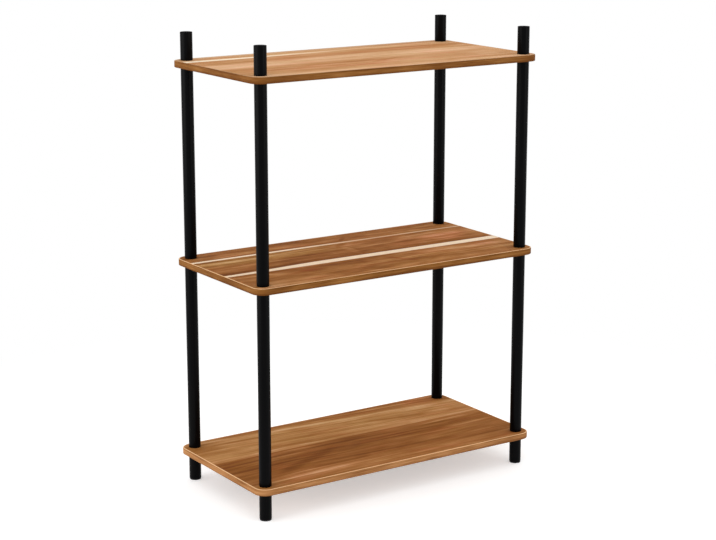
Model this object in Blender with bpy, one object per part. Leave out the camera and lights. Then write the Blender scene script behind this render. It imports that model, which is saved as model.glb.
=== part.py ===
"""Open shelving unit: veneered boards held between stacked lengths of round black post.

Each of the four posts is a stack of turned lengths with a board between every two of them.
A hanger bolt in the bottom end of one length passes through the board under it and screws
into the insert nut in the top end of the next length, which clamps the board.

Units are metres and +Z is up. The front faces -Y, and the origin is on the floor, at the centre.
"""

import math

import bmesh
import bpy

# Boards and their edge bands
BOARD_WIDTH = 0.600
BOARD_DEPTH = 0.300
BOARD_THICKNESS = 0.012
CORNER_RADIUS = 0.022
BAND_THICKNESS = 0.002
BAND_ARRIS = 0.0015
BAND_GLUE_LINE = 0.0001

# Post lengths, from the floor up: foot, one full length between boards, top stub
POST_DIAMETER = 0.022
POST_INSET = 0.022
FOOT_LENGTH = 0.048
POST_LENGTH = 0.3475
TOP_STUB_LENGTH = 0.050
SEAT_ARRIS = 0.0004
END_ARRIS = 0.0008

# Hanger bolt: wood thread up into a length, machine thread down through the board
BOLT_DIAMETER = 0.008
WOOD_THREAD_DIAMETER = 0.007
WOOD_THREAD_LENGTH = 0.026
WOOD_THREAD_POINT = 0.005
BOLT_ENGAGEMENT = 0.011
BOLT_CHAMFER = 0.001
BOARD_HOLE_CLEARANCE = 0.0005

# Insert nut in the top end of the length under a board
INSERT_DIAMETER = 0.012
INSERT_LENGTH = 0.013
INSERT_POCKET_RELIEF = 0.003

# Push-in glide under each foot
GLIDE_DIAMETER = 0.021
GLIDE_THICKNESS = 0.002
GLIDE_ARRIS = 0.0006
SPIGOT_DIAMETER = 0.006
SPIGOT_LENGTH = 0.012
SPIGOT_CHAMFER = 0.001

# Gaps between pieces that touch: end faces on a board, and a piece in its bore
SEAT_GAP = 0.00025
FIT_GAP = 0.00025

# Facets
CORNER_STEPS = 8
ARRIS_STEPS = 2
POST_STEPS = 24
HARDWARE_STEPS = 12
SMOOTH_ANGLE = math.radians(35)
MERGE_DISTANCE = 1e-7
SMALLEST_RADIUS = 1e-5

TIERS = ("bottom", "middle", "top")
CORNERS = {
    "front_left": (-1, -1),
    "front_right": (1, -1),
    "back_left": (-1, 1),
    "back_right": (1, 1),
}

TIER_PITCH = BOARD_THICKNESS + POST_LENGTH + 2 * SEAT_GAP
FIRST_BOARD_Z = GLIDE_THICKNESS + FOOT_LENGTH + 2 * SEAT_GAP
POST_RADIUS = POST_DIAMETER / 2
POCKET_RADIUS = INSERT_DIAMETER / 2 + FIT_GAP
POCKET_DEPTH = INSERT_LENGTH + INSERT_POCKET_RELIEF
PILOT_RADIUS = WOOD_THREAD_DIAMETER / 2 + FIT_GAP
PILOT_DEPTH = WOOD_THREAD_LENGTH + FIT_GAP
SPIGOT_BORE_RADIUS = SPIGOT_DIAMETER / 2 + FIT_GAP
SPIGOT_BORE_DEPTH = SPIGOT_LENGTH + FIT_GAP
BOARD_HOLE_RADIUS = BOLT_DIAMETER / 2 + BOARD_HOLE_CLEARANCE


def clear_scene():
    for obj in list(bpy.data.objects):
        bpy.data.objects.remove(obj)


def finish_material(name, colour, roughness, metallic=0.0):
    """A Principled BSDF material with a plain linear colour."""
    material = bpy.data.materials.new(name)
    material.use_nodes = True
    shader = material.node_tree.nodes["Principled BSDF"]
    shader.inputs["Base Color"].default_value = (*colour, 1.0)
    shader.inputs["Roughness"].default_value = roughness
    shader.inputs["Metallic"].default_value = metallic
    return material


def add_object(name, data, parent=None, height=0.0):
    obj = bpy.data.objects.new(name, data)
    bpy.context.scene.collection.objects.link(obj)
    obj.parent = parent
    obj.location.z = height
    return obj


def mesh_from(bm, name, material):
    """Closes a bmesh into a named mesh with outward normals and sharp arrises."""
    bmesh.ops.remove_doubles(bm, verts=bm.verts, dist=MERGE_DISTANCE)
    bmesh.ops.recalc_face_normals(bm, faces=bm.faces)
    mesh = bpy.data.meshes.new(name)
    bm.to_mesh(mesh)
    bm.free()
    mesh.shade_smooth()
    mesh.set_sharp_from_angle(angle=SMOOTH_ANGLE)
    mesh.materials.append(material)
    return mesh


def arc(centre_x, centre_y, radius, start, end, steps):
    """Points on an arc from angle start to angle end, both ends included."""
    angles = [start + (end - start) * i / steps for i in range(steps + 1)]
    return [(centre_x + radius * math.cos(a), centre_y + radius * math.sin(a)) for a in angles]


def turned(name, profile, steps, material):
    """A mesh turned about Z from (radius, height) points. The first and last lie on the axis,
    or the profile is closed by repeating its first point."""
    bm = bmesh.new()
    verts = [bm.verts.new((radius, 0.0, height)) for radius, height in profile]
    edges = [bm.edges.new(pair) for pair in zip(verts, verts[1:])]
    bmesh.ops.spin(
        bm,
        geom=verts + edges,
        cent=(0.0, 0.0, 0.0),
        axis=(0.0, 0.0, 1.0),
        angle=math.tau,
        steps=steps,
        use_merge=False,
    )
    return mesh_from(bm, name, material)


def board_outline(inset):
    """Rounded rectangle, set in from the board's outer edge, counter-clockwise from the front right."""
    half_width = BOARD_WIDTH / 2 - inset
    half_depth = BOARD_DEPTH / 2 - inset
    radius = max(CORNER_RADIUS - inset, SMALLEST_RADIUS)
    points = []
    for quarter, (side_x, side_y) in enumerate(((1, -1), (1, 1), (-1, 1), (-1, -1))):
        start = (quarter - 1) * math.pi / 2
        centre_x = side_x * (half_width - radius)
        centre_y = side_y * (half_depth - radius)
        points += arc(centre_x, centre_y, radius, start, start + math.pi / 2, CORNER_STEPS)
    return points


def post_axes():
    """Each corner's name and the place of its post's axis."""
    reach_x = BOARD_WIDTH / 2 - POST_INSET
    reach_y = BOARD_DEPTH / 2 - POST_INSET
    return {name: (x * reach_x, y * reach_y) for name, (x, y) in CORNERS.items()}


def board_mesh(material):
    """The veneered board inside its edge band, with a bolt hole at every post."""
    bm = bmesh.new()
    loops = [board_outline(BAND_THICKNESS + BAND_GLUE_LINE)]
    for x, y in post_axes().values():
        loops.append(arc(x, y, BOARD_HOLE_RADIUS, 0.0, math.tau, HARDWARE_STEPS)[:-1])
    edges = []
    for loop in loops:
        verts = [bm.verts.new((x, y, 0.0)) for x, y in loop]
        edges += [bm.edges.new(pair) for pair in zip(verts, verts[1:] + verts[:1])]
    face = bmesh.ops.triangle_fill(bm, edges=edges, use_beauty=True)
    faces = [item for item in face["geom"] if isinstance(item, bmesh.types.BMFace)]
    lifted = bmesh.ops.extrude_face_region(bm, geom=faces, use_keep_orig=True)
    top = [item for item in lifted["geom"] if isinstance(item, bmesh.types.BMVert)]
    bmesh.ops.translate(bm, verts=top, vec=(0.0, 0.0, BOARD_THICKNESS))
    return mesh_from(bm, "board", material)


def band_section():
    """(inset, height) points round the band's section: square on the glue side, eased outside."""
    radius = min(BAND_ARRIS, 0.9 * BAND_THICKNESS, 0.45 * BOARD_THICKNESS)
    lower = arc(radius, radius, radius, 1.5 * math.pi, math.pi, ARRIS_STEPS)
    upper = arc(radius, BOARD_THICKNESS - radius, radius, math.pi, 0.5 * math.pi, ARRIS_STEPS)
    return [(BAND_THICKNESS, 0.0), *lower, *upper, (BAND_THICKNESS, BOARD_THICKNESS)]


def band_mesh(material):
    """The edge band as its section carried round the board's outline."""
    bm = bmesh.new()
    rings = []
    for inset, height in band_section():
        rings.append([bm.verts.new((x, y, height)) for x, y in board_outline(inset)])
    for ring, following in zip(rings, rings[1:] + rings[:1]):
        for i in range(len(ring)):
            j = (i + 1) % len(ring)
            bm.faces.new((ring[i], ring[j], following[j], following[i]))
    return mesh_from(bm, "band", material)


def post_mesh(name, length, top_bore, top_arris, bottom_bore, bottom_arris, material):
    """A turned length standing on z = 0. A bore is (radius, depth), or None for a plain end."""
    upper = arc(POST_RADIUS - top_arris, length - top_arris, top_arris, math.pi / 2, 0.0, ARRIS_STEPS)
    lower = arc(POST_RADIUS - bottom_arris, bottom_arris, bottom_arris, 0.0, -math.pi / 2, ARRIS_STEPS)
    profile = [(0.0, length)]
    if top_bore:
        radius, depth = top_bore
        profile = [(0.0, length - depth), (radius, length - depth), (radius, length)]
    profile += upper + lower
    if bottom_bore:
        radius, depth = bottom_bore
        profile += [(radius, 0.0), (radius, depth), (0.0, depth)]
    else:
        profile.append((0.0, 0.0))
    return turned(name, profile, POST_STEPS, material)


def hanger_bolt_mesh(material):
    """A bolt whose z = 0 is the bottom end of the length that it is screwed into."""
    wood_radius = WOOD_THREAD_DIAMETER / 2
    bolt_radius = BOLT_DIAMETER / 2
    bolt_end = -(BOARD_THICKNESS + 2 * SEAT_GAP + BOLT_ENGAGEMENT)
    profile = [
        (0.0, WOOD_THREAD_LENGTH),
        (wood_radius, WOOD_THREAD_LENGTH - WOOD_THREAD_POINT),
        (wood_radius, 0.0),
        (bolt_radius, -SEAT_GAP),
        (bolt_radius, bolt_end + BOLT_CHAMFER),
        (bolt_radius - BOLT_CHAMFER, bolt_end),
        (0.0, bolt_end),
    ]
    return turned("hanger_bolt", profile, HARDWARE_STEPS, material)


def insert_nut_mesh(material):
    """A headless insert nut whose z = 0 is its top end, flush with the end of its length."""
    outer = INSERT_DIAMETER / 2
    inner = BOLT_DIAMETER / 2 + FIT_GAP
    profile = [(outer, 0.0), (outer, -INSERT_LENGTH), (inner, -INSERT_LENGTH), (inner, 0.0), (outer, 0.0)]
    return turned("insert_nut", profile, HARDWARE_STEPS, material)


def glide_mesh(material):
    """A glide standing on z = 0: a disc eased at the floor, with a spigot pushed into the foot."""
    disc_radius = GLIDE_DIAMETER / 2
    spigot_radius = SPIGOT_DIAMETER / 2
    spigot_top = GLIDE_THICKNESS + SPIGOT_LENGTH
    eased = arc(disc_radius - GLIDE_ARRIS, GLIDE_ARRIS, GLIDE_ARRIS, 0.0, -math.pi / 2, ARRIS_STEPS)
    profile = [
        (0.0, spigot_top),
        (spigot_radius - SPIGOT_CHAMFER, spigot_top),
        (spigot_radius, spigot_top - SPIGOT_CHAMFER),
        (spigot_radius, GLIDE_THICKNESS),
        (disc_radius, GLIDE_THICKNESS),
        *eased,
        (0.0, 0.0),
    ]
    return turned("glide", profile, POST_STEPS, material)


def build_boards(unit, veneer, band_finish):
    board = board_mesh(veneer)
    band = band_mesh(band_finish)
    for tier, tier_name in enumerate(TIERS):
        height = FIRST_BOARD_Z + tier * TIER_PITCH
        add_object(f"shelf_{tier_name}", board, unit, height)
        add_object(f"edge_band_{tier_name}", band, unit, height)


def build_corner(corner, axis, meshes):
    """One post: glide, foot, full lengths, top stub, and the bolt and nut at every board."""
    add_object(f"foot_glide_{corner}", meshes["glide"], axis)
    add_object(f"foot_post_{corner}", meshes["foot"], axis, GLIDE_THICKNESS + SEAT_GAP)
    for tier, tier_name in enumerate(TIERS):
        underside = FIRST_BOARD_Z + tier * TIER_PITCH
        seat = underside + BOARD_THICKNESS + SEAT_GAP
        if tier + 1 < len(TIERS):
            add_object(f"post_{tier_name}_{TIERS[tier + 1]}_{corner}", meshes["post"], axis, seat)
        else:
            add_object(f"top_stub_{corner}", meshes["stub"], axis, seat)
        add_object(f"hanger_bolt_{tier_name}_{corner}", meshes["bolt"], axis, seat)
        add_object(f"insert_nut_{tier_name}_{corner}", meshes["nut"], axis, underside - SEAT_GAP)


def build():
    clear_scene()
    veneer = finish_material("acacia_veneer", (0.34, 0.17, 0.07), 0.42)
    band_finish = finish_material("acacia_edge_band", (0.40, 0.19, 0.07), 0.45)
    lacquer = finish_material("black_lacquered_wood", (0.012, 0.012, 0.012), 0.48)
    zinc = finish_material("zinc_plated_steel", (0.62, 0.62, 0.60), 0.35, 1.0)
    plastic = finish_material("black_plastic", (0.010, 0.010, 0.010), 0.55)

    pocket = (POCKET_RADIUS, POCKET_DEPTH)
    pilot = (PILOT_RADIUS, PILOT_DEPTH)
    spigot_bore = (SPIGOT_BORE_RADIUS, SPIGOT_BORE_DEPTH)
    meshes = {
        "foot": post_mesh("foot", FOOT_LENGTH, pocket, SEAT_ARRIS, spigot_bore, END_ARRIS, lacquer),
        "post": post_mesh("post", POST_LENGTH, pocket, SEAT_ARRIS, pilot, SEAT_ARRIS, lacquer),
        "stub": post_mesh("stub", TOP_STUB_LENGTH, None, END_ARRIS, pilot, SEAT_ARRIS, lacquer),
        "bolt": hanger_bolt_mesh(zinc),
        "nut": insert_nut_mesh(zinc),
        "glide": glide_mesh(plastic),
    }

    unit = add_object("shelving_unit", None)
    build_boards(unit, veneer, band_finish)
    for corner, (x, y) in post_axes().items():
        axis = add_object(f"post_axis_{corner}", None, unit)
        axis.location = (x, y, 0.0)
        build_corner(corner, axis, meshes)


build()
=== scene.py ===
# %% [markdown]
# # An open shelving unit: veneered boards between turned black posts
#
# The real unit is three thin veneered boards, each with a glued edge band, held by four slim black posts.
# A post is not one rod: it is a stack of turned lengths, and a board is clamped between every two of them.
# The packed model already has each piece at its true size and place. This lesson loads it as a fixed frame,
# measures it, and makes a finer piece for each of its nodes.

# %% Load the frame
import math
from collections import namedtuple

import bmesh
import bpy
from mathutils import Matrix, Vector


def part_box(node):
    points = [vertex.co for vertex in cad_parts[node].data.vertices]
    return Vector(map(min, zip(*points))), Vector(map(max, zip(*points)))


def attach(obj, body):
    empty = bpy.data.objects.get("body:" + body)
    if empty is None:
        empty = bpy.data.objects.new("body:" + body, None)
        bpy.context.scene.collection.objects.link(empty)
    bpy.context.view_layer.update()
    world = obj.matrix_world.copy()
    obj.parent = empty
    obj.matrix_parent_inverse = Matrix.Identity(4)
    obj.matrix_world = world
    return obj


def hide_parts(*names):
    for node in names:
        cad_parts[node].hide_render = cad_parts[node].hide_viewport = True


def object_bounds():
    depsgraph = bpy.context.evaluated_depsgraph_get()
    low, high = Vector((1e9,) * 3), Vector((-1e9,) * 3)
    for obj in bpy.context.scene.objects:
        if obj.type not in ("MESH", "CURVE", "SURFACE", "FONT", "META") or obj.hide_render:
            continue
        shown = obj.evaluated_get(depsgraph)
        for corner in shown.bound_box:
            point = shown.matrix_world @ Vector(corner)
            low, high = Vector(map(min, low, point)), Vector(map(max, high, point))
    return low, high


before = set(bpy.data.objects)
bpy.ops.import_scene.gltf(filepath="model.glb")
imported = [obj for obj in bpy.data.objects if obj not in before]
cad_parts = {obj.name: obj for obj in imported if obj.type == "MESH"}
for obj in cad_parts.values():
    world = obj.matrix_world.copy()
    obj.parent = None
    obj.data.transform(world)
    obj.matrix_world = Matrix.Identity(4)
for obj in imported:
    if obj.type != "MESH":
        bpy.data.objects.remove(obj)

cad_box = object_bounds()

# %% [markdown]
# ## Measure before making
#
# The outer sizes are read from the frame's own nodes, so the pieces fit whatever the frame holds. What a box
# can't tell, such as a bore or a rounded corner, is written down where it is first used. A post's axis is
# the middle of its foot.

# %% Measure the boards and the posts
TIERS = ("bottom", "middle", "top")
CORNERS = ("front_left", "front_right", "back_left", "back_right")
MM = 0.001


def extent(node):
    """A node's width, depth and height."""
    low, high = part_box(node)
    return high - low


def axis_of(corner):
    """The middle of a corner's post, in plan."""
    low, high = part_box(f"foot_post_{corner}")
    middle = (low + high) / 2
    return middle.x, middle.y


board_width, board_depth, board_thickness = extent("edge_band_bottom")
band_thickness = (board_width - extent("shelf_bottom").x) / 2
post_radius = extent("foot_post_front_left").x / 2
axes = {corner: axis_of(corner) for corner in CORNERS}
underside = {tier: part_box(f"shelf_{tier}")[0].z for tier in TIERS}
print("board:", [round(size / MM, 2) for size in (board_width, board_depth, board_thickness)], "mm")
print("post radius:", round(post_radius / MM, 2), "mm, axes:", axes)

# %% [markdown]
# ## Stand the camera where the photographer stood
#
# The unit was photographed from its left front, from above the top board, with a long lens, which keeps the
# boards' edges nearly parallel. The camera's place was worked out from the twelve places where posts meet
# boards. Its shift stays at zero, so it serves other views too.

# %% Add the camera
CAMERA_PLACE = (-1.842, -2.775, 1.177)
CAMERA_TURN = -33.60
CAMERA_TILT = 13.31
LENS = 93.2
scene = bpy.context.scene


def add_object(name, data):
    """A new object in the scene, at the origin."""
    obj = bpy.data.objects.new(name, data)
    scene.collection.objects.link(obj)
    return obj


camera = add_object("camera", bpy.data.cameras.new("camera"))
camera.data.lens = LENS
camera.location = CAMERA_PLACE
camera.rotation_euler = (math.radians(90 - CAMERA_TILT), 0.0, math.radians(CAMERA_TURN))
scene.camera = camera
scene.view_settings.view_transform = "Standard"
print("camera:", LENS, "mm lens,", CAMERA_TILT, "degrees down")

# %% [markdown]
# ## Write shader maths as Python
#
# A wood pattern is mostly arithmetic: distances, masks and mixtures. Wiring each sum by hand hides the
# idea, so a small class gives an output socket Python's operators: `1 - mask` adds a Math node by itself.
# Any other node comes from one method, which sets the node's own settings before its sockets.

# %% Wrap a socket
class Wire:
    """An output socket. Operators on it add Math nodes to the tree that it belongs to."""

    def __init__(self, socket):
        self.socket = socket
        self.tree = socket.id_data

    @classmethod
    def node(cls, tree, kind, sockets, output=0, **settings):
        """Any node: its settings first, then for each named socket a value, a wire or a list of wires."""
        made = tree.nodes.new(kind)
        for name, value in settings.items():
            if name == "stops":
                cls.set_stops(made.color_ramp, value)
            else:
                setattr(made, name, value)
        for key, value in sockets.items():
            wires = value if isinstance(value, list) else [value]
            if isinstance(wires[0], Wire):
                for wire in wires:
                    wire.into(made.inputs[key])
            else:
                made.inputs[key].default_value = value
        return cls(made.outputs[output]) if made.outputs else None

    @staticmethod
    def set_stops(ramp, stops):
        """Gives a colour ramp its stops, each a position and a linear colour."""
        while len(ramp.elements) < len(stops):
            ramp.elements.new(1.0)
        for element, (position, colour) in zip(ramp.elements, stops):
            element.position = position
            element.color = (*colour, 1.0)

    def into(self, socket):
        """Links this wire to a node's input."""
        self.tree.links.new(self.socket, socket)

    def beside(self, output):
        """Another output of the node that this wire comes from."""
        return Wire(self.socket.node.outputs[output])

    def maths(self, operation, other=0.0, swapped=False):
        """A Math node on this wire and another value, which comes first if they are swapped."""
        pair = (other, self) if swapped else (self, other)
        return Wire.node(self.tree, "ShaderNodeMath", dict(enumerate(pair)), operation=operation)

    def __add__(self, other):
        return self.maths("ADD", other)

    def __sub__(self, other):
        return self.maths("SUBTRACT", other)

    def __rsub__(self, other):
        return self.maths("SUBTRACT", other, swapped=True)

    def __mul__(self, other):
        return self.maths("MULTIPLY", other)

    def __truediv__(self, other):
        return self.maths("DIVIDE", other)

    def __rtruediv__(self, other):
        return self.maths("DIVIDE", other, swapped=True)

    __radd__ = __add__
    __rmul__ = __mul__

    def __abs__(self):
        return self.maths("ABSOLUTE")

    def rises(self, low, high):
        """0 below low, 1 above high, and a smooth slope between them."""
        sockets = {"Value": self, "From Min": low, "From Max": high}
        return Wire.node(self.tree, "ShaderNodeMapRange", sockets, interpolation_type="SMOOTHSTEP")


print("reflected operators:", [name for name in vars(Wire) if name.startswith("__r")])

# %% [markdown]
# ## The white background
#
# A catalogue picture stands on white, and most of its light comes evenly from all round. The world does
# both. Its strength as light suits the wood, so plain white is kept for the rays that show a background:
# from the camera, in a reflection, or through something clear.

# %% Add the world
AMBIENT = 0.97
WHITE = (1.0, 1.0, 1.0, 1.0)


def seen_directly(tree):
    """1 for the rays that show a background, 0 for the rays that only carry light."""
    camera_ray = Wire.node(tree, "ShaderNodeLightPath", {}, "Is Camera Ray")
    seen = camera_ray + camera_ray.beside("Is Glossy Ray") + camera_ray.beside("Is Transmission Ray")
    return seen.maths("MINIMUM", 1.0)


world = bpy.data.worlds.new("studio")
world.use_nodes = True
background = world.node_tree.nodes["Background"]
background.inputs["Color"].default_value = WHITE
level = AMBIENT + (1 - AMBIENT) * seen_directly(world.node_tree)
level.into(background.inputs["Strength"])
scene.world = world
print("world:", world.name, "at", AMBIENT)

# %% [markdown]
# ## The pale floor
#
# The floor is matt paper. It throws light back at the boards' edges and keeps the unit's soft shadow. Paper
# alone would render grey, so it glows a little where it is seen, and away from the unit it fades to the
# background's white, which hides the line where they meet.

# %% Add the floor
FLOOR_REACH = 6.0
PAPER = (0.8, 0.8, 0.8, 1.0)
FLOOR_GLOW = 0.44
SHADOW_REACH = (0.55, 1.1)


def floor_paper():
    """Paper that shows the shadow near the unit and fades to plain white away from it."""
    material = bpy.data.materials.new("floor_paper")
    material.use_nodes = True
    tree = material.node_tree
    tree.nodes.remove(tree.nodes["Principled BSDF"])
    seen = seen_directly(tree)
    place = Wire.node(tree, "ShaderNodeTexCoord", {}, "Object")
    distance = Wire.node(tree, "ShaderNodeVectorMath", {0: place}, "Value", operation="LENGTH")
    paper = Wire.node(tree, "ShaderNodeBsdfDiffuse", {"Color": PAPER})
    glow = Wire.node(tree, "ShaderNodeEmission", {"Strength": FLOOR_GLOW * seen})
    near = Wire.node(tree, "ShaderNodeAddShader", {0: paper, 1: glow})
    white = Wire.node(tree, "ShaderNodeEmission", {})
    away = seen * distance.rises(*SHADOW_REACH)
    both = Wire.node(tree, "ShaderNodeMixShader", {0: away, 1: near, 2: white})
    both.into(tree.nodes["Material Output"].inputs["Surface"])
    return material


def add_floor():
    """One large square on z = 0."""
    corners = [(x * FLOOR_REACH, y * FLOOR_REACH, 0.0) for x, y in ((-1, -1), (1, -1), (1, 1), (-1, 1))]
    mesh = bpy.data.meshes.new("floor")
    mesh.from_pydata(corners, [], [(0, 1, 2, 3)])
    mesh.materials.append(floor_paper())
    return add_object("studio_floor", mesh)


add_floor()
print("floor:", 2 * FLOOR_REACH, "m across")

# %% [markdown]
# ## Three soft lamps
#
# A broad lamp overhead adds a little light. A large soft box on the left and a smaller one in front draw the
# quiet upright highlights on the black posts, where narrow lamps would draw hard white lines.

# %% Add the lamps
Lamp = namedtuple("Lamp", "place width height power")
LAMPS = {
    "overhead": Lamp(place=(-0.6, -0.7, 3.0), width=2.4, height=2.4, power=3.0),
    "left_box": Lamp(place=(-3.0, 0.3, 0.6), width=2.6, height=1.6, power=30.0),
    "right_box": Lamp(place=(1.6, -3.0, 0.6), width=1.2, height=1.6, power=12.0),
}
UNIT_MIDDLE = Vector((0.0, 0.0, 0.42))

for name, lamp in LAMPS.items():
    light = bpy.data.lights.new(name, "AREA")
    light.shape = "ELLIPSE"
    light.size = lamp.width
    light.size_y = lamp.height
    light.energy = lamp.power
    lit = add_object(name, light)
    lit.location = lamp.place
    lit.rotation_euler = (lit.location - UNIT_MIDDLE).to_track_quat("Z", "Y").to_euler()
print("lamps:", list(LAMPS))

# %% [markdown]
# ## Colours
#
# A colour is written as a picture shows it, from 0 to 255, and turned into linear light, which is what a
# shader adds up. A Math node would turn a colour grey, so colours only come out of a ramp or a Mix node.

# %% Helpers for colours
def tone(red, green, blue):
    """A linear colour from the 0 to 255 values that a picture shows, by the sRGB curve."""
    shares = [value / 255 for value in (red, green, blue)]
    return tuple(s / 12.92 if s <= 0.04045 else ((s + 0.055) / 1.055) ** 2.4 for s in shares)


def ramp(level, stops):
    """The colour that a ramp gives a level. Each stop is a position and a linear colour."""
    return Wire.node(level.tree, "ShaderNodeValToRGB", {"Fac": level}, stops=stops)


def blend(factor, first, second, mode="MIX"):
    """Two colours mixed: wires or linear colours, first where the factor is 0."""
    colours = [c if isinstance(c, Wire) else (*c, 1.0) for c in (first, second)]
    # A Mix node has sockets for each kind of value. Those for colours are 6 and 7, and output 2.
    sockets = {0: factor, 6: colours[0], 7: colours[1]}
    return Wire.node(factor.tree, "ShaderNodeMix", sockets, 2, data_type="RGBA", blend_type=mode)


print("a middle grey is", round(tone(128, 128, 128)[0], 3), "in linear light")

# %% [markdown]
# ## Grain is stretched noise
#
# Wood changes slowly along its fibres and quickly across them. Noise does so too, when a place is divided by
# a long length along the grain and a short one across it. A Wave texture draws lines as well, but it
# repeats. A finish needs several layers of noise, so a small table names them. They are centred on zero, so
# a layer makes as much paler as it makes darker.

# %% Helpers for grain
Layer = namedtuple("Layer", "lengths detail seed")
NOISE_MIDDLE = 0.5


def grain(place, layer, seed=0.0):
    """Noise about 0 whose blotches have the layer's lengths along the three parts of a place."""
    parts = [part / length + (layer.seed + seed) for part, length in zip(place, layer.lengths)]
    vector = Wire.node(parts[0].tree, "ShaderNodeCombineXYZ", dict(enumerate(parts)))
    sockets = {"Vector": vector, "Scale": 1.0, "Detail": layer.detail}
    return Wire.node(vector.tree, "ShaderNodeTexNoise", sockets) - NOISE_MIDDLE


def grain_layers(place, table, seed=0.0):
    """The noise of each layer in a table, by its name."""
    return {name: grain(place, layer, seed) for name, layer in table.items()}


def weighted(layers, shares):
    """The sum of some layers, each times its share."""
    return sum(share * layers[name] for name, share in shares.items())


print("a layer has", Layer._fields)

# %% [markdown]
# ## Start and end a finish
#
# Each finish is a Principled shader that reads Object coordinates, so its pattern stays fixed to the unit.
# They are turned into millimetres, which suit grain. A finish also has a surface: how rough and glossy it
# is, which of its layers make it duller, and which of them stand up in a Bump.

# %% Helpers for a finish
Surface = namedtuple("Surface", "roughness duller height relief gloss metal", defaults=[0.0])


def split(vector):
    """The three parts of a vector, as wires."""
    x = Wire.node(vector.tree, "ShaderNodeSeparateXYZ", {0: vector}, "X")
    return x, x.beside("Y"), x.beside("Z")


def start_finish(name):
    """A new material, and a point's Object coordinates in millimetres."""
    material = bpy.data.materials.new(name)
    material.use_nodes = True
    metres = split(Wire.node(material.node_tree, "ShaderNodeTexCoord", {}, "Object"))
    return material, [part / MM for part in metres]


def end_finish(material, surface, colour, layers):
    """The material, with a colour and the surface that the layers make. The relief is in millimetres."""
    inputs = material.node_tree.nodes["Principled BSDF"].inputs
    sockets = {"Height": weighted(layers, surface.height), "Distance": surface.relief * MM}
    Wire.node(material.node_tree, "ShaderNodeBump", sockets).into(inputs["Normal"])
    roughness = surface.roughness + weighted(layers, surface.duller)
    roughness.into(inputs["Roughness"])
    colour.into(inputs["Base Color"])
    inputs["Specular IOR Level"].default_value = surface.gloss
    inputs["Metallic"].default_value = surface.metal
    return material


print("a surface has", Surface._fields)

# %% [markdown]
# ## The boards' veneer: tones and lanes
#
# The faces are a reddish-brown veneer, made of broad lanes of straight grain laid side by side. An image
# would stop at its own pixels, so the veneer is worked out instead. Two ramps across the board set each
# lane's tone at its left and right end, and one scale of heartwood colours turns tone into colour, so a
# darker lane is also a deeper brown.

# %% Choose the veneer's tones and lanes
HEARTWOOD = (
    tone(118, 65, 18),
    tone(144, 88, 36),
    tone(168, 111, 59),
    tone(193, 138, 87),
    tone(219, 172, 129),
    tone(242, 204, 166),
)
# The change of tone from one colour of heartwood to the next.
HEART_STEP = 0.25
# Each stop: distance from the back edge in mm, then the tone at the left and at the right, darkest at 0.
LANES = {
    "top": [
        (0, 0.35, 0.35), (22, 0.60, 0.60), (32, 0.90, 0.95), (48, 0.95, 0.85), (66, 0.65, 0.70),
        (100, 0.70, 0.75), (135, 1.00, 1.05), (165, 0.95, 0.95), (195, 0.70, 0.80), (240, 0.80, 0.80),
        (270, 0.80, 0.85), (300, 1.05, 1.15),
    ],
    "middle": [
        (0, 0.35, 0.35), (40, 0.45, 0.45), (54, 0.30, 0.40), (80, 0.45, 0.55), (112, 0.50, 0.75),
        (120, 0.40, 0.45), (155, 0.35, 0.40), (166, 0.10, 0.30), (200, 0.25, 0.45), (215, 0.40, 0.70),
        (245, 0.50, 0.50), (270, 0.35, 0.40), (300, 0.45, 0.45),
    ],
    "bottom": [
        (0, 0.40, 0.35), (16, 0.40, 0.35), (34, 0.85, 0.85), (50, 0.65, 0.65), (90, 0.65, 0.55),
        (130, 0.60, 0.75), (135, 0.15, 0.35), (150, 0.15, 0.25), (190, 0.20, 0.30), (240, 0.30, 0.35),
        (270, 0.50, 0.40), (300, 0.45, 0.45),
    ],
}
LANE_BLEND = (240, 520)
print("lanes:", {tier: len(lanes) for tier, lanes in LANES.items()})

# %% [markdown]
# ## Sapwood stripes
#
# Here and there a lane keeps a strip of pale sapwood, and those cream stripes are what the eye finds first.
# A stripe has a centre, a half width and a strength at either end, and a span over which the one becomes the
# other, so it can start as a wedge or fade out. Thin sapwood lets the heartwood show through, so a weak
# stripe is warmer.

# %% List the stripes
Stripe = namedtuple("Stripe", "centre half strength span")
STRIPES = {
    "top": [
        Stripe((52, 36), (7.5, 3.0), (1.0, 0.0), (60, 560)),
        # Along the back edge a weak, wide pale stripe that is paler wood and painted sheen together.
        Stripe((4, 4), (16, 16), (0.45, 0.35), (0, 600)),
    ],
    "middle": [
        Stripe((62, 63.5), (4.6, 3.2), (1.0, 0.6), (180, 420)),
        Stripe((185, 181), (6.0, 10.5), (0.9, 1.0), (0, 220)),
    ],
    "bottom": [],
}
STRIPE_EDGE = 1.2
SAPWOOD = tone(254, 234, 206)
SAPWOOD_THIN = tone(240, 192, 140)
print("stripes:", {tier: len(stripes) for tier, stripes in STRIPES.items()})
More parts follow.
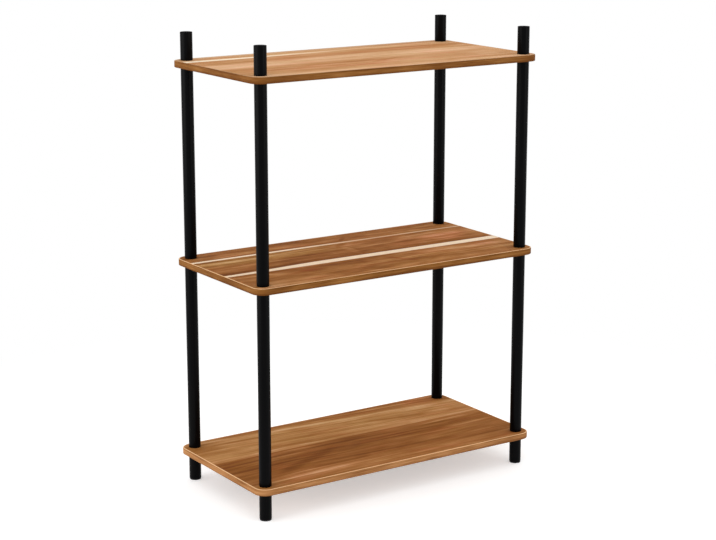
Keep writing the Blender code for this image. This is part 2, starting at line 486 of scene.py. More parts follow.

# %% [markdown]
# ## Flecks
#
# A fleck is a soft patch where the figure turns darker, paler, redder or more golden: smoky streaks that
# lean across the lanes, curls, and lanes that glow towards one end. Noise alone would scatter them evenly,
# while real veneer has some that stand out, so these are listed one by one. Each is a leaning ellipse.
# The two long pale flecks at the left end of the top board, lanes that glow towards that end, are painted
# sheen.

# %% List the flecks
# Each fleck: distance from the left and from the back in mm, half length, half width, lean, change of tone.
FLECKS = {
    "top": [
        (330, 205, 55, 10, -0.4, -0.14), (95, 228, 50, 14, 0.0, -0.12), (160, 125, 40, 10, 0.0, -0.10),
        # Painted sheen: the two long pale flecks 40 mm from the left end of the top board.
        (540, 215, 50, 26, 0.0, 0.10), (40, 74, 170, 34, 0.0, 0.18), (40, 172, 150, 20, 0.0, 0.20),
    ],
    "middle": [
        (310, 80, 22, 11, -0.5, -0.26), (338, 38, 14, 8, -0.6, -0.26), (303, 130, 11, 38, 0.0, 0.16),
        (385, 100, 55, 20, 0.0, -0.20), (515, 120, 60, 36, 0.0, 0.14), (530, 214, 50, 16, 0.0, 0.12),
        (150, 226, 45, 13, -0.12, -0.22), (340, 236, 24, 13, 1.5, -0.10), (140, 84, 140, 28, 0.0, 0.28),
        (95, 36, 70, 12, 0.0, 0.20), (70, 282, 120, 22, 0.0, 0.26), (510, 298, 140, 18, 0.0, 0.22),
        (350, 140, 80, 20, 0.0, -0.12), (345, 216, 65, 14, 0.0, -0.16), (425, 110, 42, 32, 0.0, -0.14),
        (350, 14, 75, 16, 0.0, -0.12),
    ],
    "bottom": [
        (155, 208, 100, 17, -0.45, -0.15), (400, 82, 90, 6, 0.19, -0.22), (190, 115, 45, 4, 0.05, -0.20),
        (215, 126, 40, 3.5, 0.05, 0.18), (125, 264, 110, 24, 0.0, 0.30), (255, 236, 22, 12, 0.0, -0.10),
        (520, 144, 80, 8, 0.03, 0.20), (530, 182, 60, 12, 0.03, 0.24), (140, 30, 90, 6, 0.03, 0.10),
        (100, 40, 70, 4, 0.03, -0.20), (0, 45, 75, 50, 0.0, -0.22), (125, 150, 120, 34, 0.0, 0.18),
        (525, 97, 45, 14, 0.0, 0.24), (480, 14, 120, 14, 0.0, 0.18), (140, 14, 80, 12, 0.03, -0.20),
        (415, 58, 70, 12, 0.0, -0.14),
    ],
}
# In these the last number is how much of the tint the fleck takes.
GOLD_FLECKS = {
    "top": [(300, 40, 320, 16, 0.0, 0.25)],
    "middle": [(120, 92, 240, 44, 0.0, 0.80), (300, 250, 320, 60, 0.0, 0.30)],
    "bottom": [(280, 70, 420, 80, 0.0, 0.50)],
}
RED_FLECKS = {
    "top": [(480, 78, 120, 26, 0.0, 0.35), (300, 82, 180, 22, 0.0, 0.25), (200, 225, 200, 34, 0.0, 0.20)],
    "middle": [
        (515, 122, 70, 36, 0.0, 0.60), (342, 236, 28, 14, 1.5, 0.60), (155, 220, 28, 13, 0.0, 0.90),
        (540, 210, 45, 16, 0.0, 0.50),
    ],
    "bottom": [(150, 262, 100, 26, 0.0, 0.20), (540, 18, 70, 20, 0.0, 0.40)],
}
print("flecks:", {tier: len(FLECKS[tier] + GOLD_FLECKS[tier] + RED_FLECKS[tier]) for tier in TIERS})

# %% [markdown]
# ## Where the grain runs
#
# Every layer of grain reads the same wandering distance across the board, so the layers bend together as
# real fibres do. Lanes wander less than the lines inside them. On the lowest board the grain by the back
# edge leans, which dies out towards the middle. The lower face is another part of the sheet, so it is turned
# over and reads another slice of the noise.

# %% Find a point's place on its board
FACE_LENGTH = board_width / MM
FACE_DEPTH = board_depth / MM
SEEDS = {"top": 3.7, "middle": 11.2, "bottom": 23.9}
LEAN = {"top": 0.0, "middle": 0.0, "bottom": 0.075}
LEAN_DIES_OUT = (70, 133)
FACES_MEET = (-1, 1)
SLICES_APART = 2.0
WANDER = Layer((300, 90, 1), 1.0, 0)
LANES_WANDER = 4
FLECKS_WANDER = 20
LINES_WANDER = 24


def board_place(tier, point):
    """Named wires in mm for a point of a board, with face, which is 1 on the upper face and 0 below."""
    x, y, z = point
    face = (z - (underside[tier] + board_thickness / 2) / MM).rises(*FACES_MEET)
    from_back = FACE_DEPTH / 2 - y
    across = face * from_back + (1 - face) * (FACE_DEPTH - from_back)
    leaning = across - LEAN[tier] * x * (1 - across.rises(*LEAN_DIES_OUT))
    noise_slice = SLICES_APART * face
    wander = grain((x, y, noise_slice), WANDER, SEEDS[tier])
    return {
        "face": face,
        "from_left": x + FACE_LENGTH / 2,
        "lanes": leaning + LANES_WANDER * wander,
        "flecks": across + FLECKS_WANDER * wander,
        "lines": (x, leaning + LINES_WANDER * wander, noise_slice),
    }


print("face:", round(FACE_LENGTH), "by", round(FACE_DEPTH), "mm")

# %% [markdown]
# ## Turn the lists into wires
#
# Three functions lay lanes, stripes and flecks on a board, by a point's distance from the left and across.
# The ramps of the lanes hold greys only, so reading them as numbers loses nothing. A ramp would do for a
# straight stripe too, but one that tapers has edges that move, which is plain arithmetic.

# %% Lay lanes, stripes and flecks
def lane_tone(place, lanes):
    """The lanes' tone: a ramp over the depth for the left, one for the right, blended along the grain."""
    ends = []
    for side in (1, 2):
        stops = [(lane[0] / FACE_DEPTH, (lane[side],) * 3) for lane in lanes]
        ends.append(ramp(place["lanes"] / FACE_DEPTH, stops))
    return ends[0] + place["from_left"].rises(*LANE_BLEND) * (ends[1] - ends[0])


def sapwood_mask(from_left, across, stripe):
    """How much sapwood a stripe shows: its strength inside, 0 outside."""
    share = from_left.rises(*stripe.span)
    ends = (stripe.centre, stripe.half, stripe.strength)
    centre, half, strength = [left + (right - left) * share for left, right in ends]
    return strength * (1 - (abs(across - centre) - half).rises(-STRIPE_EDGE, STRIPE_EDGE))


def flecks_at(place, flecks):
    """Soft patches on the upper face, added up. Each fades out towards the rim of a leaning ellipse."""
    patches = []
    for left, back, long, wide, lean, change in flecks:
        offset = place["from_left"] - left
        along = offset / long
        aside = (place["flecks"] - back - lean * offset) / wide
        patches.append(change * (1 - (along * along + aside * aside).rises(0, 1)))
    return place["face"] * sum(patches)


print("lanes change between", LANE_BLEND, "mm from the left")

# %% [markdown]
# ## Grain over the lanes
#
# Five layers, from broad figure to fine fibres, make the wood darker or paler, and each board shows them
# with its own strength. Two more spread clouds of gold and red, which multiply the colour: heartwood is
# never one brown. A fleck is broken up by the lines that it crosses, or it would look like a shadow.

# %% Mix the veneer's colour
VENEER_LAYERS = {
    "figure": Layer((150, 24, 1), 2.0, 5),
    "bands": Layer((230, 9, 1), 1.0, 7),
    "lines": Layer((160, 4, 1), 2.0, 9),
    "mottle": Layer((45, 15, 1), 2.0, 12),
    "fibres": Layer((48, 0.9, 1), 2.0, 14),
    "pores": Layer((9, 0.5, 1), 1.0, 21),
    "gold": Layer((110, 18, 1), 1.0, 26),
    "red": Layer((90, 22, 1), 1.0, 30),
}
SHOWS = {
    "top": {"figure": 0.35, "bands": 0.45, "lines": 0.60, "mottle": 0.20, "fibres": 0.30},
    "middle": {"figure": 0.70, "bands": 0.65, "lines": 0.70, "mottle": 0.70, "fibres": 0.30},
    "bottom": {"figure": 0.45, "bands": 0.65, "lines": 0.65, "mottle": 0.30, "fibres": 0.30},
}
BREAKS_FLECKS = {"lines": 2.0, "bands": 2.0}
STRIPE_WANDER = 1.5
Tint = namedtuple("Tint", "colour share clouds flecks")
TINTS = {
    "gold": Tint(colour=(1.00, 1.14, 1.00), share=0.3, clouds=(-0.02, 0.25), flecks=GOLD_FLECKS),
    "red": Tint(colour=(1.03, 0.76, 0.78), share=0.4, clouds=(0.0, 0.25), flecks=RED_FLECKS),
}


def heartwood(tier, place, layers):
    """The colour of lanes, grain and flecks together."""
    level = lane_tone(place, LANES[tier]) + weighted(layers, SHOWS[tier])
    level = level + flecks_at(place, FLECKS[tier]) * (1 + weighted(layers, BREAKS_FLECKS))
    steps = len(HEARTWOOD) - 1
    return ramp(level / (steps * HEART_STEP), [(i / steps, colour) for i, colour in enumerate(HEARTWOOD)])


def tinted(tier, place, layers, colour):
    """The colour under clouds and flecks of gold and then of red."""
    for name, tint in TINTS.items():
        factor = tint.share * layers[name].rises(*tint.clouds) + flecks_at(place, tint.flecks[tier])
        colour = blend(factor, colour, tint.colour, "MULTIPLY")
    return colour


def striped(tier, place, layers, colour):
    """The colour with the board's sapwood stripes over it."""
    across = place["lanes"] + STRIPE_WANDER * layers["bands"]
    for stripe in STRIPES[tier]:
        mask = sapwood_mask(place["from_left"], across, stripe)
        colour = blend(mask, colour, blend(mask, SAPWOOD_THIN, SAPWOOD))
    return colour


print("layers of the veneer:", list(VENEER_LAYERS))

# %% [markdown]
# ## Pores and sheen
#
# Open pores are tiny dark scratches along the grain. They sink into the surface and stay dull, while the
# fibres between them stand a little proud. As a mesh they would take millions of faces, so a Bump draws
# them. The oiled face is matt, so its gloss is low and its roughness high.

# %% Build the veneers
PORE = tone(104, 58, 22)
PORES_SHOW = (0.12, 0.24)
PORE_SHADE = 0.35
VENEER = Surface(
    roughness=0.74, duller={"lines": 0.14, "pores": 0.16},
    height={"fibres": 1.0, "pores": -0.8}, relief=0.06, gloss=0.05,
)


def veneer(tier):
    """The finish of one board's faces."""
    material, point = start_finish(f"veneer_{tier}")
    place = board_place(tier, point)
    layers = grain_layers(place["lines"], VENEER_LAYERS, SEEDS[tier])
    colour = heartwood(tier, place, layers)
    colour = tinted(tier, place, layers, colour)
    colour = striped(tier, place, layers, colour)
    layers["pores"] = layers["pores"].rises(*PORES_SHOW)
    colour = blend(PORE_SHADE * layers["pores"], colour, PORE)
    return end_finish(material, VENEER, colour, layers)


veneers = {tier: veneer(tier) for tier in TIERS}
print("veneers:", {tier: len(material.node_tree.nodes) for tier, material in veneers.items()}, "nodes")

# %% [markdown]
# ## The edge bands' finish
#
# A thin strip of the same wood is glued round each board, so its grain follows the edge. Noise that is long
# in plan and short in height does that, whichever way the edge faces. The lowest strip is paler. Painted
# shade darkens the strip towards its lower edge, which faces down, and just under the upper arris. A painted
# highlight on the upper arris makes a light line there.

# %% Build the edge bands' finishes
BAND_TONES = {
    "top": (tone(108, 62, 20), tone(134, 86, 38), tone(160, 110, 58)),
    "middle": (tone(107, 62, 20), tone(134, 86, 38), tone(162, 112, 60)),
    "bottom": (tone(136, 88, 47), tone(172, 119, 72), tone(198, 145, 96)),
}
BAND_STOPS = (0.1, 0.5, 0.95)
BAND_LAYERS = {
    "lines": Layer((150, 150, 2.6), 2.0, 50),
    "patches": Layer((70, 70, 14), 1.0, 57),
    "streaks": Layer((26, 26, 1.7), 1.0, 61),
    "fibres": Layer((24, 24, 0.35), 2.0, 53),
}
BAND_SHOWS = {"lines": 0.9, "patches": 0.9, "streaks": 0.7, "fibres": 0.3}
BAND_LEVEL = 0.48
# Painted shade: each strip is darker towards its lower edge, which faces down, over this height in mm.
LOWER_EDGE_SHADE = {"top": 0.42, "middle": 0.42, "bottom": 0.30}
LOWER_SHADE_HEIGHT = (0.0, 6.0)
# Painted shade just under the upper arris, over this height in mm, which keeps the lit arris narrow.
UNDER_ARRIS_SHADE = 0.2
UNDER_ARRIS_SHADE_HEIGHT = (9.0, 10.8)
# Painted highlight: a light line along the upper arris, with its share on each board and its height in mm.
ARRIS_HIGHLIGHT_TONE = tone(246, 200, 150)
ARRIS_HIGHLIGHT_SHARE = {"top": 0.35, "middle": 0.95, "bottom": 1.0}
ARRIS_HIGHLIGHT_HEIGHT = (11.4, 11.7)
ARRIS_HIGHLIGHT_WANDER = 0.3
BAND = Surface(
    roughness=0.66, duller={"lines": 0.12, "arris_highlight": -0.06}, height={"fibres": 1.0}, relief=0.05, gloss=0.08
)


def band_finish(tier):
    """The finish of one board's edge band, by its height above the board's underside in mm."""
    material, point = start_finish(f"edge_band_{tier}")
    height = point[2] - underside[tier] / MM
    layers = grain_layers(point, BAND_LAYERS, SEEDS[tier])
    # Painted shade towards the lower edge.
    level = BAND_LEVEL - LOWER_EDGE_SHADE[tier] * (1 - height.rises(*LOWER_SHADE_HEIGHT))
    # Painted shade just under the upper arris.
    level = level - UNDER_ARRIS_SHADE * height.rises(*UNDER_ARRIS_SHADE_HEIGHT) + weighted(layers, BAND_SHOWS)
    colour = ramp(level, list(zip(BAND_STOPS, BAND_TONES[tier])))
    # Painted highlight along the upper arris. The line is also a little less rough.
    arris_highlight_mask = (height + ARRIS_HIGHLIGHT_WANDER * layers["patches"]).rises(*ARRIS_HIGHLIGHT_HEIGHT)
    layers["arris_highlight"] = ARRIS_HIGHLIGHT_SHARE[tier] * arris_highlight_mask
    return end_finish(material, BAND, blend(layers["arris_highlight"], colour, ARRIS_HIGHLIGHT_TONE), layers)


band_finishes = {tier: band_finish(tier) for tier in TIERS}
print("edge bands:", [material.name for material in band_finishes.values()])

# %% [markdown]
# ## Black lacquer on turned wood
#
# The posts are wood under thin satin black. Up close the lacquer sinks a little into the wood's long grain,
# so bump and roughness follow fine upright lines, and it is thinner in faint clouds. End grain drinks the
# lacquer and stays dull, so the top faces of the stubs are rougher. A flat black would look like a hole.

# %% Build the lacquer
LACQUER_BLACK = tone(2, 2, 3)
LACQUER_THIN = tone(7, 6, 6)
LACQUER_LAYERS = {
    "lines": Layer((0.8, 0.8, 60), 3.0, 70),
    "clouds": Layer((14, 14, 120), 2.0, 75),
}
THINS = {"clouds": 1.0, "lines": 0.5}
THIN_SHOWS = (0.0, 0.35)
THIN_SHARE = 0.8
END_GRAIN_DEPTH = (0.9, 0.2)
LACQUER = Surface(
    roughness=0.35, duller={"clouds": 0.16, "lines": 0.1, "end_grain": 0.5},
    height={"lines": 1.0}, relief=0.012, gloss=0.055,
)


def lacquer_finish():
    """The finish of the posts."""
    material, point = start_finish("satin_black_lacquer")
    layers = grain_layers(point, LACQUER_LAYERS)
    thin = weighted(layers, THINS).rises(*THIN_SHOWS)
    layers["end_grain"] = point[2].rises(*[cad_box[1].z / MM - depth for depth in END_GRAIN_DEPTH])
    return end_finish(material, LACQUER, blend(THIN_SHARE * thin, LACQUER_BLACK, LACQUER_THIN), layers)


lacquer = lacquer_finish()
print("posts:", lacquer.name)

# %% [markdown]
# ## Zinc and moulded plastic
#
# The bolts and nuts inside are zinc plated. Fresh zinc is bright with a faint mottle of dull crystals, so
# colour and roughness follow one fine noise. The glides under the feet are moulded with an even,
# spark-eroded texture, and the floor has scuffed them grey in short streaks.

# %% Build the zinc and the plastic
ZINC_BRIGHT = tone(205, 206, 204)
ZINC_DULL = tone(168, 170, 172)
ZINC_LAYERS = {"mottle": Layer((1.6, 1.6, 1.6), 3.0, 90)}
CRYSTALS_SHOW = (-0.15, 0.2)
ZINC = Surface(
    roughness=0.37, duller={"mottle": 0.22}, height={"mottle": 1.0}, relief=0.02, gloss=0.5, metal=1.0
)
PLASTIC_NEW = tone(20, 20, 21)
PLASTIC_WORN = tone(38, 38, 38)
PLASTIC_LAYERS = {
    "specks": Layer((0.5, 0.5, 0.5), 2.0, 110),
    "scuffs": Layer((5, 1.2, 3), 2.0, 115),
}
SCUFFS_SHOW = (0.05, 0.25)
SCUFF_SHARE = 0.5
PLASTIC = Surface(roughness=0.6, duller={"specks": 0.2}, height={"specks": 1.0}, relief=0.04, gloss=0.5)


def zinc_finish():
    """The finish of the bolts and the insert nuts."""
    material, point = start_finish("zinc_plate")
    layers = grain_layers(point, ZINC_LAYERS)
    crystals = layers["mottle"].rises(*CRYSTALS_SHOW)
    return end_finish(material, ZINC, blend(crystals, ZINC_BRIGHT, ZINC_DULL), layers)


def plastic_finish():
    """The finish of the glides."""
    material, point = start_finish("moulded_plastic")
    layers = grain_layers(point, PLASTIC_LAYERS)
    scuffed = SCUFF_SHARE * layers["scuffs"].rises(*SCUFFS_SHOW)
    return end_finish(material, PLASTIC, blend(scuffed, PLASTIC_NEW, PLASTIC_WORN), layers)


zinc = zinc_finish()
plastic = plastic_finish()
print("hardware:", zinc.name, "and", plastic.name)

# %% [markdown]
# ## Geometry Nodes from Python
#
# Every shape here follows a rule: a section carried round an outline, a profile turned about an axis, a
# plate with holes at its corners. Such rules suit Geometry Nodes. A tree is built once, with a named input
# for each size and for the finish, and each piece sets its own.

# %% Open and close a tree
def new_tree(name, lengths, counts=()):
    """An empty tree for geometry, with a wire for each named length, each count and the finish."""
    tree = bpy.data.node_groups.new(name, "GeometryNodeTree")
    kinds = {"Geometry": "Geometry", **dict.fromkeys(lengths, "Float"), **dict.fromkeys(counts, "Int")}
    kinds["Finish"] = "Material"
    for label, kind in kinds.items():
        tree.interface.new_socket(label, in_out="INPUT", socket_type=f"NodeSocket{kind}")
    tree.interface.new_socket("Geometry", in_out="OUTPUT", socket_type="NodeSocketGeometry")
    geometry = Wire.node(tree, "NodeGroupInput", {}, "Geometry")
    return tree, {label: geometry.beside(label) for label in kinds}


def close_tree(shape, finish):
    """The shape's tree, ended in Realize Instances and Set Material."""
    tree = shape.tree
    real = Wire.node(tree, "GeometryNodeRealizeInstances", {0: shape})
    dressed = Wire.node(tree, "GeometryNodeSetMaterial", {"Geometry": real, "Material": finish})
    Wire.node(tree, "NodeGroupOutput", {0: dressed})
    print(f"{tree.name}: {len(tree.nodes)} nodes")
    return tree


def close_sweep(path, wires):
    """The path's tree, ended as its section carried along the path."""
    sockets = {"Curve": path, "Profile Curve": wires["Geometry"]}
    return close_tree(Wire.node(path.tree, "GeometryNodeCurveToMesh", sockets), wires["Finish"])


print("node trees so far:", len(bpy.data.node_groups))

# %% [markdown]
# ## From a tree to a finished piece
#
# A finished piece keeps no modifier. The tree's result becomes a plain mesh straight away, with doubles
# merged, faces turned outwards and sharp edges marked. Its place goes into its points, so that the object
# sits at the origin as the frame's nodes do, and it takes over from its node.

# %% Grow a mesh and place a piece
MERGE = 1e-6
SHARP = math.radians(32)


def cleaned(mesh):
    """Merges doubles, turns the faces outwards and marks the sharp edges."""
    bm = bmesh.new()
    bm.from_mesh(mesh)
    bmesh.ops.remove_doubles(bm, verts=bm.verts, dist=MERGE)
    bmesh.ops.recalc_face_normals(bm, faces=bm.faces)
    open_edges = sum(not edge.is_manifold for edge in bm.edges)
    bm.to_mesh(mesh)
    bm.free()
    mesh.shade_smooth()
    mesh.set_sharp_from_angle(angle=SHARP)
    print(f"{mesh.name}: {len(mesh.polygons)} faces, {open_edges} open edges")
    return mesh


def grown(name, data, steps):
    """The plain mesh that a list of (tree, inputs) makes of some curve or mesh data."""
    source = add_object(f"{name}_source", data)
    for tree, inputs in steps:
        modifier = source.modifiers.new(tree.name, "NODES")
        modifier.node_group = tree
        for socket in tree.interface.items_tree:
            if socket.in_out == "INPUT" and socket.name in inputs:
                modifier[socket.identifier] = inputs[socket.name]
    bpy.context.view_layer.update()
    evaluated = source.evaluated_get(bpy.context.evaluated_depsgraph_get())
    mesh = bpy.data.meshes.new_from_object(evaluated)
    mesh.name = name
    bpy.data.objects.remove(source)
    return cleaned(mesh)


def place_piece(name, mesh, place, node):
    """A moved copy of a mesh that rides on the root and stands for its node."""
    copy = mesh.copy()
    copy.transform(Matrix.Translation(place))
    piece = add_object(name, copy)
    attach(piece, "root")
    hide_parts(node)


print("edges over", round(math.degrees(SHARP)), "degrees are sharp")

# %% [markdown]
# ## A rule for a drilled board
#
# A board is a flat sheet with round corners and four bolt holes. A box with a Bevel and four Booleans would
# do, but the rule is simpler in plan: an outline and four circles are filled together, which leaves the
# circles open, and the sheet is pulled up to its thickness. A turned-over copy closes it underneath.

# %% Write the board's tree
CORNER_STEPS = 24
HOLE_STEPS = 32


def rounded_outline(tree, wires):
    """A rectangle in plan with round corners, from a tree's named inputs."""
    sides = {"Width": wires["Width"], "Height": wires["Depth"]}
    rectangle = Wire.node(tree, "GeometryNodeCurvePrimitiveQuadrilateral", sides)
    corners = {"Curve": rectangle, "Count": CORNER_STEPS, "Radius": wires["Corner Radius"]}
    return Wire.node(tree, "GeometryNodeFilletCurve", corners, mode="POLY")


def circle(tree, steps, radius):
    """A circle in plan."""
    return Wire.node(tree, "GeometryNodeCurvePrimitiveCircle", {"Resolution": steps, "Radius": radius})


def board_tree():
    """A plate with round corners and a hole at each post, standing on z = 0."""
    sizes = ("Width", "Depth", "Thickness", "Corner Radius", "Hole Radius", "Reach X", "Reach Y")
    tree, wires = new_tree("drilled_board", sizes)
    outline = rounded_outline(tree, wires)
    spread = {"Size X": 2 * wires["Reach X"], "Size Y": 2 * wires["Reach Y"]}
    axes_in_plan = Wire.node(tree, "GeometryNodeMeshGrid", {**spread, "Vertices X": 2, "Vertices Y": 2})
    hole = circle(tree, HOLE_STEPS, wires["Hole Radius"])
    holes = Wire.node(tree, "GeometryNodeInstanceOnPoints", {"Points": axes_in_plan, "Instance": hole})
    real_holes = Wire.node(tree, "GeometryNodeRealizeInstances", {0: holes})
    drawing = Wire.node(tree, "GeometryNodeJoinGeometry", {0: [outline, real_holes]})
    sheet = Wire.node(tree, "GeometryNodeFillCurve", {"Curve": drawing})
    lift = Wire.node(tree, "ShaderNodeCombineXYZ", {"Z": wires["Thickness"]})
    raised = Wire.node(tree, "GeometryNodeExtrudeMesh", {"Mesh": sheet, "Offset": lift, "Individual": False})
    under = Wire.node(tree, "GeometryNodeFlipFaces", {"Mesh": sheet})
    solid = Wire.node(tree, "GeometryNodeJoinGeometry", {0: [raised, under]})
    return close_tree(solid, wires["Finish"])


drilled_board = board_tree()

# %% [markdown]
# ## Three boards
#
# The boards differ only in their finish, so one rule serves all three. Their corners are tighter than the
# band's by its thickness, and the holes leave the bolts half a millimetre of room.

# %% Grow the boards
CORNER_RADIUS = 22 * MM
HOLE_RADIUS = 4.5 * MM
sizes = {"Corner Radius": CORNER_RADIUS - band_thickness, "Hole Radius": HOLE_RADIUS}
sizes.update(zip(("Width", "Depth", "Thickness"), extent("shelf_bottom")))
sizes.update(zip(("Reach X", "Reach Y"), axes["back_right"]))

for tier in TIERS:
    name = f"veneered_board_{tier}"
    steps = [(drilled_board, {**sizes, "Finish": veneers[tier]})]
    mesh = grown(name, bpy.data.meshes.new("seed"), steps)
    place_piece(name, mesh, (0, 0, underside[tier]), f"shelf_{tier}")

# %% [markdown]
# ## Draw a section
#
# The rest of the unit is made of sections: one carried round a board, others turned about an axis. A section
# is a curve of straight pieces and arcs. Curve to Mesh lays its x outwards and its y downwards, so a height
# goes in with its sign turned.

# %% Helpers for a section
EASE_STEPS = 6


def arc(centre_x, centre_y, radius, start, end):
    """Points on an arc between two angles in degrees, both ends included."""
    angles = [math.radians(start + (end - start) * i / EASE_STEPS) for i in range(EASE_STEPS + 1)]
    return [(centre_x + radius * math.cos(a), centre_y + radius * math.sin(a)) for a in angles]


def section_curve(name, points, closed):
    """A curve through (outward, height) points, ready for Curve to Mesh."""
    curve = bpy.data.curves.new(name, "CURVE")
    curve.dimensions = "3D"
    spline = curve.splines.new("POLY")
    spline.points.add(len(points) - 1)
    for point, (outward, height) in zip(spline.points, points):
        point.co = (outward, -height, 0.0, 1.0)
    spline.use_cyclic_u = closed
    return curve


print("points on an eased edge:", EASE_STEPS + 1)

# %% [markdown]
# ## The edge bands
#
# A band is one small section carried round the board: square where it is glued, eased outside. A Bevel on a
# ring would do as well, but the section shows both eases and the glue line at a glance.

# %% Grow the edge bands
BAND_EASE = 1.5 * MM
GLUE_LINE = 0.1 * MM


def band_tree():
    """A section carried round a rectangle with round corners."""
    tree, wires = new_tree("edge_band", ("Width", "Depth", "Corner Radius"))
    return close_sweep(rounded_outline(tree, wires), wires)


def band_section():
    """(outward, height) points round the band's section, with 0 at its outer face and its lower edge."""
    glued = -(band_thickness - GLUE_LINE)
    lower = arc(-BAND_EASE, BAND_EASE, BAND_EASE, -90, 0)
    upper = arc(-BAND_EASE, board_thickness - BAND_EASE, BAND_EASE, 0, 90)
    return [(glued, 0.0), *lower, *upper, (glued, board_thickness)]


edge_band = band_tree()
section = section_curve("band_section", band_section(), closed=True)
sizes = {"Width": board_width, "Depth": board_depth, "Corner Radius": CORNER_RADIUS}
for tier in TIERS:
    name = f"eased_band_{tier}"
    mesh = grown(name, section, [(edge_band, {**sizes, "Finish": band_finishes[tier]})])
    place_piece(name, mesh, (0, 0, underside[tier]), f"edge_band_{tier}")

# %% [markdown]
# ## A lathe
#
# Posts, bolts, nuts and glides are all turned. A Screw modifier could turn a profile. Here a circle is the
# path and the profile is the section, so the same Curve to Mesh that made the bands becomes a lathe.

# %% Make a lathe
LATHE_RADIUS = 10 * MM


def lathe_tree():
    """A section carried round a circle."""
    tree, wires = new_tree("lathe", ["Radius"], ["Steps"])
    return close_sweep(circle(tree, wires["Steps"], wires["Radius"]), wires)


def turned(name, profile, steps, finish, closed=False, cuts=()):
    """A mesh turned about Z from (radius, height) points, with any threads cut afterwards."""
    points = [(radius - LATHE_RADIUS, height) for radius, height in profile]
    inputs = {"Radius": LATHE_RADIUS, "Steps": steps, "Finish": finish}
    return grown(name, section_curve(name, points, closed), [(lathe, inputs), *cuts])


lathe = lathe_tree()

# %% [markdown]
# ## The turned posts
#
# Each length of a post is a straight shaft with eased ends. A pocket at the top takes the insert nut, and a
# pilot bore at the bottom takes the bolt. Foot and stub have one end that shows, which is eased a little
# more than the ends that sit on a board.

# %% Turn the posts
POST_STEPS = 64
SEAT_EASE = 0.4 * MM
END_EASE = 0.8 * MM
Bore = namedtuple("Bore", "radius depth")
POCKET = Bore(radius=6.25 * MM, depth=16.0 * MM)
PILOT = Bore(radius=3.75 * MM, depth=26.25 * MM)
SPIGOT_BORE = Bore(radius=3.25 * MM, depth=12.25 * MM)
# Each length, by its node: the piece's name, then bore and ease of its top end and of its bottom end.
LENGTHS = {
    "foot_post": ("turned_foot", POCKET, SEAT_EASE, SPIGOT_BORE, END_EASE),
    "post_bottom_middle": ("turned_lower_post", POCKET, SEAT_EASE, PILOT, SEAT_EASE),
    "post_middle_top": ("turned_upper_post", POCKET, SEAT_EASE, PILOT, SEAT_EASE),
    "top_stub": ("turned_top_stub", None, END_EASE, PILOT, SEAT_EASE),
}


def post_profile(length, top, top_ease, bottom, bottom_ease):
    """(radius, height) points down a length that stands on z = 0. Its top may have no bore."""
    start = [(0.0, length)]
    if top:
        inner_end = length - top.depth
        start = [(0.0, inner_end), (top.radius, inner_end), (top.radius, length)]
    upper = arc(post_radius - top_ease, length - top_ease, top_ease, 90, 0)
    lower = arc(post_radius - bottom_ease, bottom_ease, bottom_ease, 0, -90)
    end = [(bottom.radius, 0.0), (bottom.radius, bottom.depth), (0.0, bottom.depth)]
    return start + upper + lower + end


for node, (name, *ends) in LENGTHS.items():
    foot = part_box(f"{node}_front_left")[0].z
    mesh = turned(name, post_profile(extent(f"{node}_front_left").z, *ends), POST_STEPS, lacquer)
    for corner, (x, y) in axes.items():
        place_piece(f"{name}_{corner}", mesh, (x, y, foot), f"{node}_{corner}")

# %% [markdown]
# ## Threads for the hidden hardware
#
# A hanger bolt has a coarse wood thread above and a machine thread below, and the insert nut has threads
# inside and out. Going round a thread once climbs one pitch. A swept ridge would leave two skins that cross,
# so this tree moves the points of a turned blank instead: each sinks by an amount that depends on its angle
# and height, which leaves one closed skin.

# %% Write the thread's tree
NEAR_SURFACE = 0.05 * MM


def thread_tree():
    """Sinks the points near one radius along a helix, which fades in and out over one pitch."""
    tree, wires = new_tree("thread", ("Major Radius", "Pitch", "Cut", "Start", "End"))
    x, y, z = split(Wire.node(tree, "GeometryNodeInputPosition", {}))
    radius = (x * x + y * y).maths("SQRT")
    turn = y.maths("ARCTAN2", x) / math.tau
    phase = (z / wires["Pitch"] - turn).maths("FRACT")
    valley = 1 - abs(2 * phase - 1)
    outside = 1 - abs(radius - wires["Major Radius"]).rises(NEAR_SURFACE, 2 * NEAR_SURFACE)
    started = (z - wires["Start"]) / wires["Pitch"]
    ended = (wires["End"] - z) / wires["Pitch"]
    sinks = wires["Cut"] * valley * outside * started.rises(0, 1) * ended.rises(0, 1)
    shrunk = 1 - sinks / radius.maths("MAXIMUM", NEAR_SURFACE)
    target = Wire.node(tree, "ShaderNodeCombineXYZ", {"X": x * shrunk, "Y": y * shrunk, "Z": z})
    moves = {"Geometry": wires["Geometry"], "Position": target}
    return close_tree(Wire.node(tree, "GeometryNodeSetPosition", moves), wires["Finish"])


thread_rule = thread_tree()

# %% [markdown]
# ## Hanger bolts and insert nuts
#
# Each bolt's wood thread sits in the length above a board, and its machine thread runs through the board
# into the insert nut in the length below. Both are turned with enough rows of points to carry a thread, and
# each thread is one more step after the lathe. A bore is threaded outwards, so its depth is negative.

# %% Turn and thread the bolts and nuts
Thread = namedtuple("Thread", "radius pitch depth")
WOOD_THREAD = Thread(radius=3.5 * MM, pitch=3.0 * MM, depth=1.0 * MM)
BOLT_THREAD = Thread(radius=4.0 * MM, pitch=1.25 * MM, depth=0.65 * MM)
NUT_THREAD = Thread(radius=6.0 * MM, pitch=2.5 * MM, depth=0.9 * MM)
NUT_BORE = Thread(radius=4.25 * MM, pitch=BOLT_THREAD.pitch, depth=-0.5 * MM)
ROWS_IN_A_PITCH = 8
WOOD_POINT = 5.0 * MM
BOLT_CHAMFER = 1.0 * MM
SEAT_GAP = 0.25 * MM
HARDWARE_STEPS = 32


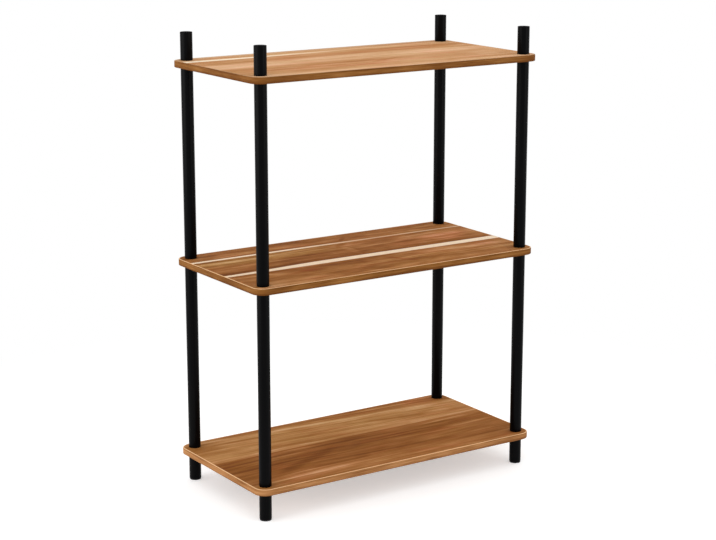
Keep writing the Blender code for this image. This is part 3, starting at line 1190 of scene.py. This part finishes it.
def shank(thread, start, end):
    """Profile points along a straight shank, close enough together to carry its thread."""
    count = max(1, round(abs(end - start) / thread.pitch * ROWS_IN_A_PITCH))
    return [(thread.radius, start + (end - start) * i / count) for i in range(count + 1)]


def thread_cut(thread, low, high):
    """One step that threads a blank between two heights."""
    values = {"Major Radius": thread.radius, "Pitch": thread.pitch, "Cut": thread.depth}
    return thread_rule, {**values, "Start": low, "End": high, "Finish": zinc}


def seat_of(tier):
    """The height of the bottom end of the length that stands on a board."""
    return underside[tier] + board_thickness + SEAT_GAP


def hanger_bolt():
    """A bolt whose z = 0 is the bottom end of the length that it is screwed into."""
    tail, tip = [corner.z - seat_of("bottom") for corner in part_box("hanger_bolt_bottom_front_left")]
    neck, shoulder = tail + BOLT_CHAMFER, tip - WOOD_POINT
    profile = [(0.0, tip), *shank(WOOD_THREAD, shoulder, 0.0), *shank(BOLT_THREAD, -SEAT_GAP, neck)]
    profile += [(BOLT_THREAD.radius - BOLT_CHAMFER, tail), (0.0, tail)]
    cuts = [thread_cut(WOOD_THREAD, 0.0, shoulder), thread_cut(BOLT_THREAD, neck, -SEAT_GAP)]
    return turned("threaded_bolt", profile, HARDWARE_STEPS, zinc, cuts=cuts)


def insert_nut():
    """A nut whose z = 0 is its top end."""
    end = -extent("insert_nut_bottom_front_left").z
    profile = shank(NUT_THREAD, 0.0, end) + shank(NUT_BORE, end, 0.0)
    cuts = [thread_cut(thread, end, 0.0) for thread in (NUT_THREAD, NUT_BORE)]
    return turned("threaded_insert", profile, HARDWARE_STEPS, zinc, closed=True, cuts=cuts)


bolt_mesh = hanger_bolt()
nut_mesh = insert_nut()
for tier in TIERS:
    for corner, (x, y) in axes.items():
        spot = f"{tier}_{corner}"
        place = (x, y, seat_of(tier))
        place_piece(f"threaded_bolt_{spot}", bolt_mesh, place, f"hanger_bolt_{spot}")
        place = (x, y, underside[tier] - SEAT_GAP)
        place_piece(f"threaded_insert_{spot}", nut_mesh, place, f"insert_nut_{spot}")

# %% [markdown]
# ## The glides
#
# A glide is a thin disc under the foot, with a spigot that is pushed into the post. Its ribs slope one way,
# like barbs, so it goes in more easily than it comes out. The ribs are rings and not a helix, so the lathe
# alone makes them.

# %% Turn the glides
GLIDE_RADIUS = 10.5 * MM
GLIDE_THICKNESS = 2 * MM
GLIDE_EASE = 0.6 * MM
RIM_EASE = 0.3 * MM
SPIGOT_RADIUS = 3 * MM
SPIGOT_EASE = 1 * MM
RIB_DEPTH = 0.4 * MM
RIB_SLOPE = 0.7
RIB_COUNT = 4


def glide_profile():
    """(radius, height) points of a glide that stands on z = 0, from the spigot's end down."""
    top = extent("foot_glide_front_left").z
    valley = SPIGOT_RADIUS - RIB_DEPTH
    pitch = (top - GLIDE_THICKNESS - 2 * SPIGOT_EASE) / RIB_COUNT
    points = [(0.0, top), (SPIGOT_RADIUS - SPIGOT_EASE, top)]
    for rib in range(RIB_COUNT):
        start = top - SPIGOT_EASE - rib * pitch
        points += [(valley, start), (SPIGOT_RADIUS, start - RIB_SLOPE * pitch)]
    points += [(valley, GLIDE_THICKNESS + SPIGOT_EASE), (SPIGOT_RADIUS, GLIDE_THICKNESS)]
    points += arc(GLIDE_RADIUS - RIM_EASE, GLIDE_THICKNESS - RIM_EASE, RIM_EASE, 90, 0)
    points += arc(GLIDE_RADIUS - GLIDE_EASE, GLIDE_EASE, GLIDE_EASE, 0, -90)
    return points + [(0.0, 0.0)]


glide_mesh = turned("moulded_glide", glide_profile(), POST_STEPS, plastic)
for corner, (x, y) in axes.items():
    place_piece(f"moulded_glide_{corner}", glide_mesh, (x, y, 0), f"foot_glide_{corner}")

# %% [markdown]
